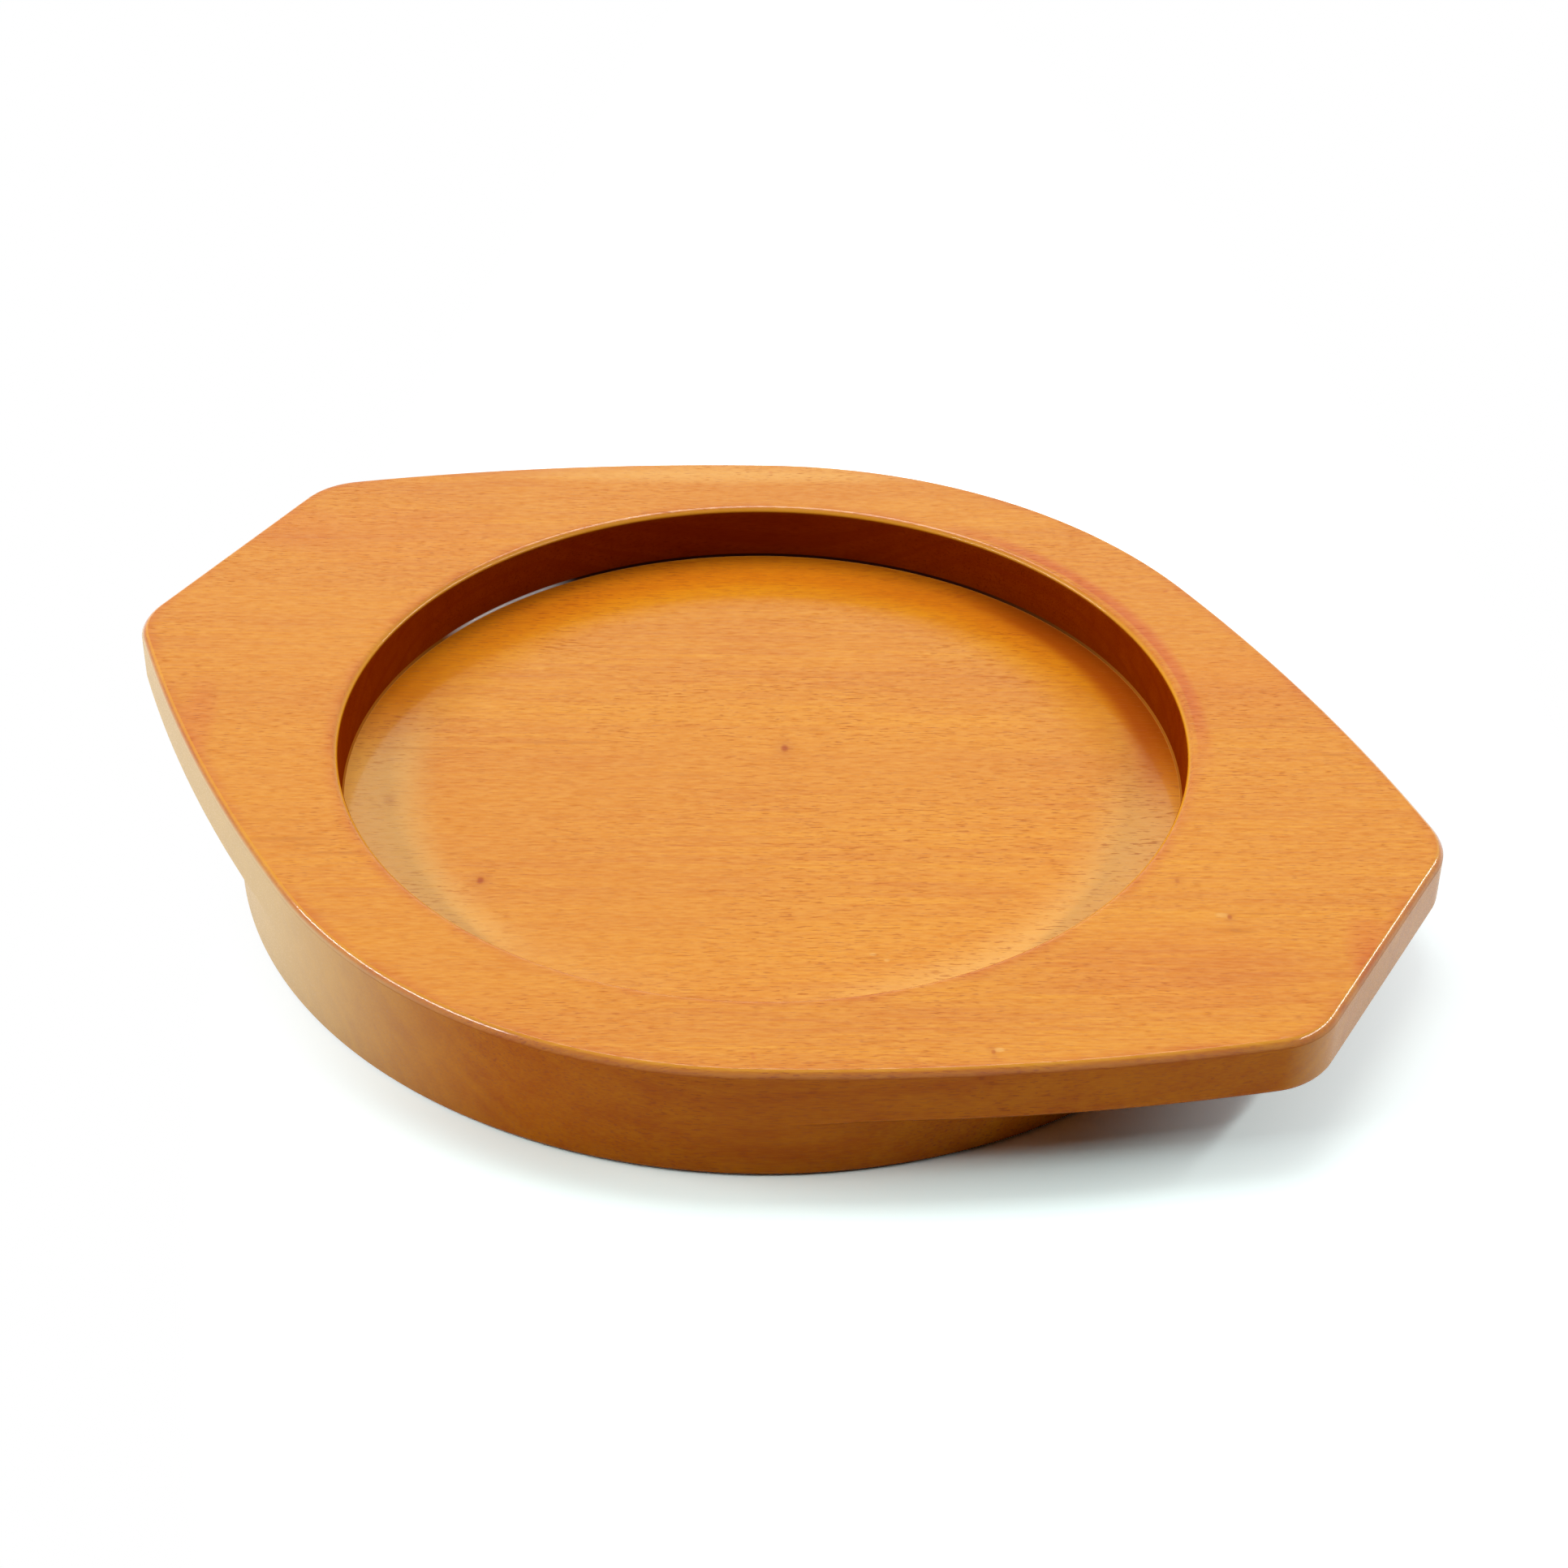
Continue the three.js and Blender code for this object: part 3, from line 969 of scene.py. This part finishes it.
        # Painted glare on some walls, which also takes away some of the wall tint
        glare = self.glare_walls * self.smooth(self.flatness, *GLARE_SLOPE)
        stained = self.cover(glare, stained, finish.painted_glare)
        return self.deepen(self.wall * (1.0 - GLARE_LIFT * glare), stained, finish.wall_tint)

    def stain_and_shade_recess(self, stained):
        """The wall of the recess is darker, with a dark figure, and has painted shade at the back."""
        finish = self.finish
        figure = self.hollow * self.smooth(self.ring, *WALL_FIGURE)
        stained = self.cover(figure * WALL_FIGURE_STAIN, stained, finish.knot_stain)
        stained = self.deepen(self.hollow, stained, finish.recess_tint)
        # Painted shade at the back of the recess wall
        return self.deepen(self.hollow * self.shaded, stained, finish.back_shade)

    def wear_and_sheen_edges(self, stained):
        """Edges are gold, partly rubbed wear and partly painted sheen; the outer one is darker below that,
        and the underside is dark.
        """
        finish = self.finish
        # Gold along the crest of the outer edge: partly rubbed wear, partly painted sheen
        crest = self.smooth(self.up, *CREST_RISE) * self.smooth(self.up, *CREST_FALL) * self.outside
        stained = self.cover(crest * CREST_WEAR_AND_SHEEN, stained, finish.worn_edge_and_sheen)
        # The lower part of the outer rounding is darker
        lip = self.smooth(self.flatness, *LIP_SLOPE) * self.smooth(self.up, *LIP_RISE)
        lip = lip * self.outside * (1.0 - self.glare_walls)
        stained = self.cover(lip * LIP_DARKENING, stained, finish.pore_stain_and_shade)
        # The faces below are darker
        stained = self.deepen(self.smooth(self.up, *DOWNWARD), stained, finish.underside_tint)
        # Gold on the rim of the recess: partly rubbed wear, partly painted sheen
        return self.cover(self.rounding * self.inside * RIM_WEAR_AND_SHEEN, stained, finish.worn_edge_and_sheen)

    def draw_lacquer_line(self, stained):
        """The line of lacquer has painted shade at the back, and a painted whitish highlight where it is
        glossy.
        """
        finish = self.finish
        # Painted shade: the line is near black at the back
        line = self.blend(self.shaded, opaque(finish.dried_lacquer), opaque(finish.shaded_line))
        # A painted whitish highlight where the line is glossy
        line = self.cover(LINE_GLINT * self.glossy, line, finish.line_glint)
        return self.blend(self.pooled, stained, line)

    def surface(self):
        """Lacquer lies on the faces and their edges, thinner over what is dark and where the floor is matt.

        The wall of the recess is bare. The outer sides are half bare, but for the end of the right handle.
        """
        finish = self.finish
        stained, dark = self.grained_wood()
        for step in (self.stain_shade_and_glare, self.stain_and_shade_recess, self.wear_and_sheen_edges, self.draw_lacquer_line):
            stained = step(stained)
        matt = self.sweeps(self.marks.matt_sweeps) * self.smooth(self.up, *LEVEL)
        sealed = self.smooth(self.up, *SEALED_SLOPE) * (1.0 - matt)
        sawn = SAWN_BARE * self.smooth(self.up, *SAWN_SLOPE) * (1.0 - self.end) * self.outside
        dry = (self.hollow * (1.0 - self.pooled)).at_least(self.dull)
        dry = dry.at_least(sawn).at_least(MATT_BARE * matt)
        coat = COAT_MIDDLE + self.fibre.swing(COAT_FIBRE) - COAT_LOSS * dark
        coat = finish.lacquer * coat.at_most(COAT_MOST).at_least(0.0)
        coat = coat.at_least(self.rounding * (1.0 - RIM_COAT_LOSS * self.inside))
        height = self.fibre * FIBRE_RELIEF - self.pores
        bumps = {"Strength": RELIEF_STRENGTH, "Distance": RELIEF_DEPTH, "Height": height}
        lacquered = self.node(
            "ShaderNodeBsdfPrincipled",
            {},
            {
                "Base Color": stained,
                "Roughness": finish.wood_roughness + PORE_ROUGHNESS * self.pores,
                "Specular IOR Level": WOOD_SPECULAR,
                "Coat Weight": coat * sealed * (1.0 - self.dull),
                "Coat Roughness": finish.lacquer_roughness,
                "Coat IOR": COAT_IOR,
                "Normal": self.node("ShaderNodeBump", {}, bumps),
            },
        )
        dull_wood = {"Base Color": stained, "Roughness": 1.0, "Specular IOR Level": 0.0}
        bare = self.node("ShaderNodeBsdfPrincipled", {}, dull_wood)
        return self.node("ShaderNodeMixShader", {}, {0: dry, 1: lacquered, 2: bare})


def wood_material(name, shape, finish, marks):
    """Stained wood under clear lacquer. The pattern is solid, so it runs on from the faces to the sides."""
    material = bpy.data.materials.new(name)
    paint = WoodPaint(empty_tree(material), shape, finish, marks)
    paint.node("ShaderNodeOutputMaterial", {}, {"Surface": paint.surface()})
    return material


# Operators for the pieces


class TRIVET_OT_upper_board(bpy.types.Operator):
    """Make the staves of the upper board, with its recess and its two handles"""

    bl_idname = "trivet.upper_board"
    bl_label = "Upper Board"

    def execute(self, context):
        shape, finish = context.scene.trivet_shape, context.scene.trivet_finish
        arcs = quarter_arcs(shape)
        recess = shape.recess_diameter / 2

        def depth_at(place):
            return min(outline_depth(shape, arcs, place), max(0.0, place.xy.length - recess))

        sections = [upper_section(shape, point) for point in whole_outline(shape)]
        mesh = loft("Upper Board", sections, closed=True)
        wood = wood_material("Upper Wood", shape, finish, UPPER_MARKS)
        board = Board(mesh, wood, UPPER_SEED, depth_at, recess, "upper_stave", "top_stave", "top_wood")
        make_staves(shape, board, range(1, shape.stave_count))
        return {"FINISHED"}


class TRIVET_OT_base_board(bpy.types.Operator):
    """Make the staves of the round base, whose top is the floor of the recess"""

    bl_idname = "trivet.base_board"
    bl_label = "Base Board"

    def execute(self, context):
        shape, finish = context.scene.trivet_shape, context.scene.trivet_finish
        radius = shape.body_diameter / 2

        def depth_at(place):
            return max(0.0, radius - place.xy.length)

        turns = [2 * math.pi * step / BASE_STEPS for step in range(BASE_STEPS)]
        mesh = loft("Base Board", [base_section(shape, turn) for turn in turns], closed=False)
        wood = wood_material("Base Wood", shape, finish, BASE_MARKS)
        board = Board(mesh, wood, BASE_SEED, depth_at, 0.0, "base_board_stave", "base_stave", "base_wood")
        make_staves(shape, board, [index + 0.5 for index in range(shape.stave_count)])
        return {"FINISHED"}


# Stage


def lifted(direction, lift):
    """A level direction, turned upwards."""
    return direction * math.cos(lift) + Vector((0.0, 0.0, math.sin(lift)))


def camera_axes(stage):
    """Right, up and backward directions of the camera."""
    right = heading(stage.azimuth).to_3d()
    back = lifted(Vector((right.y, -right.x, 0.0)), stage.elevation)
    spin = Matrix.Rotation(stage.roll, 3, back)
    return spin @ right, spin @ back.cross(right), back


def make_camera(stage, target):
    right, up, back = camera_axes(stage)
    data = bpy.data.cameras.new("Camera")
    data.lens = stage.lens
    data.sensor_width = SENSOR_WIDTH
    camera = add_object("Camera", data)
    place = target + back * stage.distance + right * stage.slide_right + up * stage.slide_up
    camera.matrix_world = Matrix.Translation(place) @ Matrix((right, up, back)).transposed().to_4x4()
    bpy.context.scene.camera = camera


def studio_axes(stage):
    """Level directions away from the camera and to its left."""
    right = heading(stage.azimuth).to_3d()
    return Vector((-right.y, right.x, 0.0)), -right


def seen_rays(paint):
    """One for rays that show a surface or the background: from the camera, a gloss or a clear piece."""
    path = paint.node("ShaderNodeLightPath", {}, {})
    rays = path.socket.node.outputs
    seen = Flow(paint, rays["Is Camera Ray"])
    for name in ("Is Glossy Ray", "Is Transmission Ray"):
        seen = seen.at_least(Flow(paint, rays[name]))
    return seen


def make_floor(stage):
    """A wide floor that keeps the shadow by the trivet, and is plain white farther away."""
    half = FLOOR_REACH
    mesh = bpy.data.meshes.new("Floor")
    corners = [(-half, -half, 0.0), (half, -half, 0.0), (half, half, 0.0), (-half, half, 0.0)]
    mesh.from_pydata(corners, [], [(0, 1, 2, 3)])
    floor = add_object("Floor", mesh)

    material = bpy.data.materials.new("White Floor")
    paint = Wiring(empty_tree(material))
    place = paint.node("ShaderNodeTexCoord", {}, {}, output=3)
    aside = paint.dot(place, studio_axes(stage)[1])
    away = WHITE_LEFT * aside.at_least(0.0) - WHITE_RIGHT * aside.at_most(0.0)
    far = paint.smooth(paint.length(place) + away, *WHITE_FLOOR)
    seen = seen_rays(paint)
    shown_colour = [stage.floor_exposure * part for part in stage.shadow_tint]
    lit = paint.node("ShaderNodeBsdfDiffuse", {}, {"Color": opaque(stage.floor_colour)})
    shown = paint.node("ShaderNodeBsdfDiffuse", {}, {"Color": opaque(shown_colour)})
    glow = paint.node("ShaderNodeEmission", {}, {"Color": opaque((1.0, 1.0, 1.0)), "Strength": 1.0})
    near = paint.node("ShaderNodeMixShader", {}, {0: seen, 1: lit, 2: shown})
    surface = paint.node("ShaderNodeMixShader", {}, {0: seen * far, 1: near, 2: glow})
    paint.node("ShaderNodeOutputMaterial", {}, {"Surface": surface})
    mesh.materials.append(material)


def make_world(stage):
    """A white studio: bright behind and on the left, and dark in front. It shows as plain white."""
    world = bpy.data.worlds.new("Studio")
    bpy.context.scene.world = world
    paint = Wiring(empty_tree(world))
    out = paint.node("ShaderNodeTexCoord", {}, {}, output=0)
    behind, leftward = studio_axes(stage)
    backness = paint.dot(out, behind)
    height = paint.axis(out, 2)
    rise = stage.studio_light - stage.horizon_light
    level = stage.horizon_light + rise * paint.smooth(height, *STUDIO_RISE)
    window = lifted(behind, BACK_LIGHT_LIFT)
    level = level + stage.back_light * paint.smooth(paint.dot(out, window), *WINDOW_EDGE)
    level = level * paint.smooth(backness, *FRONT_FADE)
    side = lifted(leftward, SIDE_LIGHT_LIFT)
    level = level + stage.side_light * paint.smooth(paint.dot(out, side), *WINDOW_EDGE)
    seen = seen_rays(paint)
    background = paint.node("ShaderNodeBackground", {}, {"Strength": seen + (1.0 - seen) * level})
    paint.node("ShaderNodeOutputWorld", {}, {"Surface": background})


def light_place(stage, turn, lift):
    """A place on the dome of lights. Turn is measured from straight behind the trivet, towards the left."""
    turn = RIGHT_ANGLE + stage.azimuth + math.radians(turn)
    return SOFTBOX_DISTANCE * lifted(heading(turn).to_3d(), math.radians(lift))


def make_softbox(name, stage, ends, height, power):
    """A softbox from one place on the dome of lights to another, which faces the trivet."""
    start, end = (light_place(stage, turn, lift) for turn, lift in ends)
    middle = (start + end) / 2
    along = (end - start).normalized()
    outward = middle.normalized()
    upward = outward.cross(along)
    data = bpy.data.lights.new(name, "AREA")
    data.shape = "RECTANGLE"
    data.size = (end - start).length
    data.size_y = height
    data.energy = power
    lamp = add_object(name, data)
    lamp.matrix_world = Matrix.Translation(middle) @ Matrix((along, upward, outward)).transposed().to_4x4()
    lamp.visible_camera = False


class TRIVET_OT_stage(bpy.types.Operator):
    """Make the floor, the studio light and the camera"""

    bl_idname = "trivet.stage"
    bl_label = "Stage"

    def execute(self, context):
        shape, stage = context.scene.trivet_shape, context.scene.trivet_stage
        make_camera(stage, Vector((0.0, 0.0, shape.height)))
        make_floor(stage)
        make_world(stage)
        tilt = math.degrees(stage.overhead_tilt)
        ceiling = [(turn, lift - tilt) for turn, lift in CEILING_ENDS]
        make_softbox("Left Softbox", stage, LEFT_ENDS, SOFTBOX_HEIGHT, stage.left_softbox)
        make_softbox("Right Softbox", stage, RIGHT_ENDS, SOFTBOX_HEIGHT, stage.right_softbox)
        make_softbox("Ceiling Light", stage, ceiling, CEILING_WIDTH, stage.overhead_light)
        context.scene.view_settings.view_transform = "Standard"
        return {"FINISHED"}


class TRIVET_PT_panel(bpy.types.Panel):
    """Buttons and sizes of the trivet"""

    bl_idname = "TRIVET_PT_panel"
    bl_label = "Wooden Trivet"
    bl_space_type = "VIEW_3D"
    bl_region_type = "UI"
    bl_category = "Trivet"

    def draw(self, context):
        for operator in (TRIVET_OT_stage, TRIVET_OT_upper_board, TRIVET_OT_base_board):
            self.layout.operator(operator.bl_idname)
        for name, group in GROUPS.items():
            box = self.layout.box()
            for item in group.__annotations__:
                box.prop(getattr(context.scene, name), item)


GROUPS = {"trivet_shape": TrivetShape, "trivet_finish": TrivetFinish, "trivet_stage": TrivetStage}
CLASSES = (*GROUPS.values(), TRIVET_OT_stage, TRIVET_OT_upper_board, TRIVET_OT_base_board, TRIVET_PT_panel)


def register():
    for item in CLASSES:
        bpy.utils.register_class(item)
    for name, group in GROUPS.items():
        setattr(bpy.types.Scene, name, PointerProperty(type=group))


def unregister():
    for name in GROUPS:
        delattr(bpy.types.Scene, name)
    for item in reversed(CLASSES):
        bpy.utils.unregister_class(item)


def main():
    register()
    bpy.ops.trivet.stage()
    bpy.ops.trivet.upper_board()
    bpy.ops.trivet.base_board()


if __name__ == "__main__":
    main()
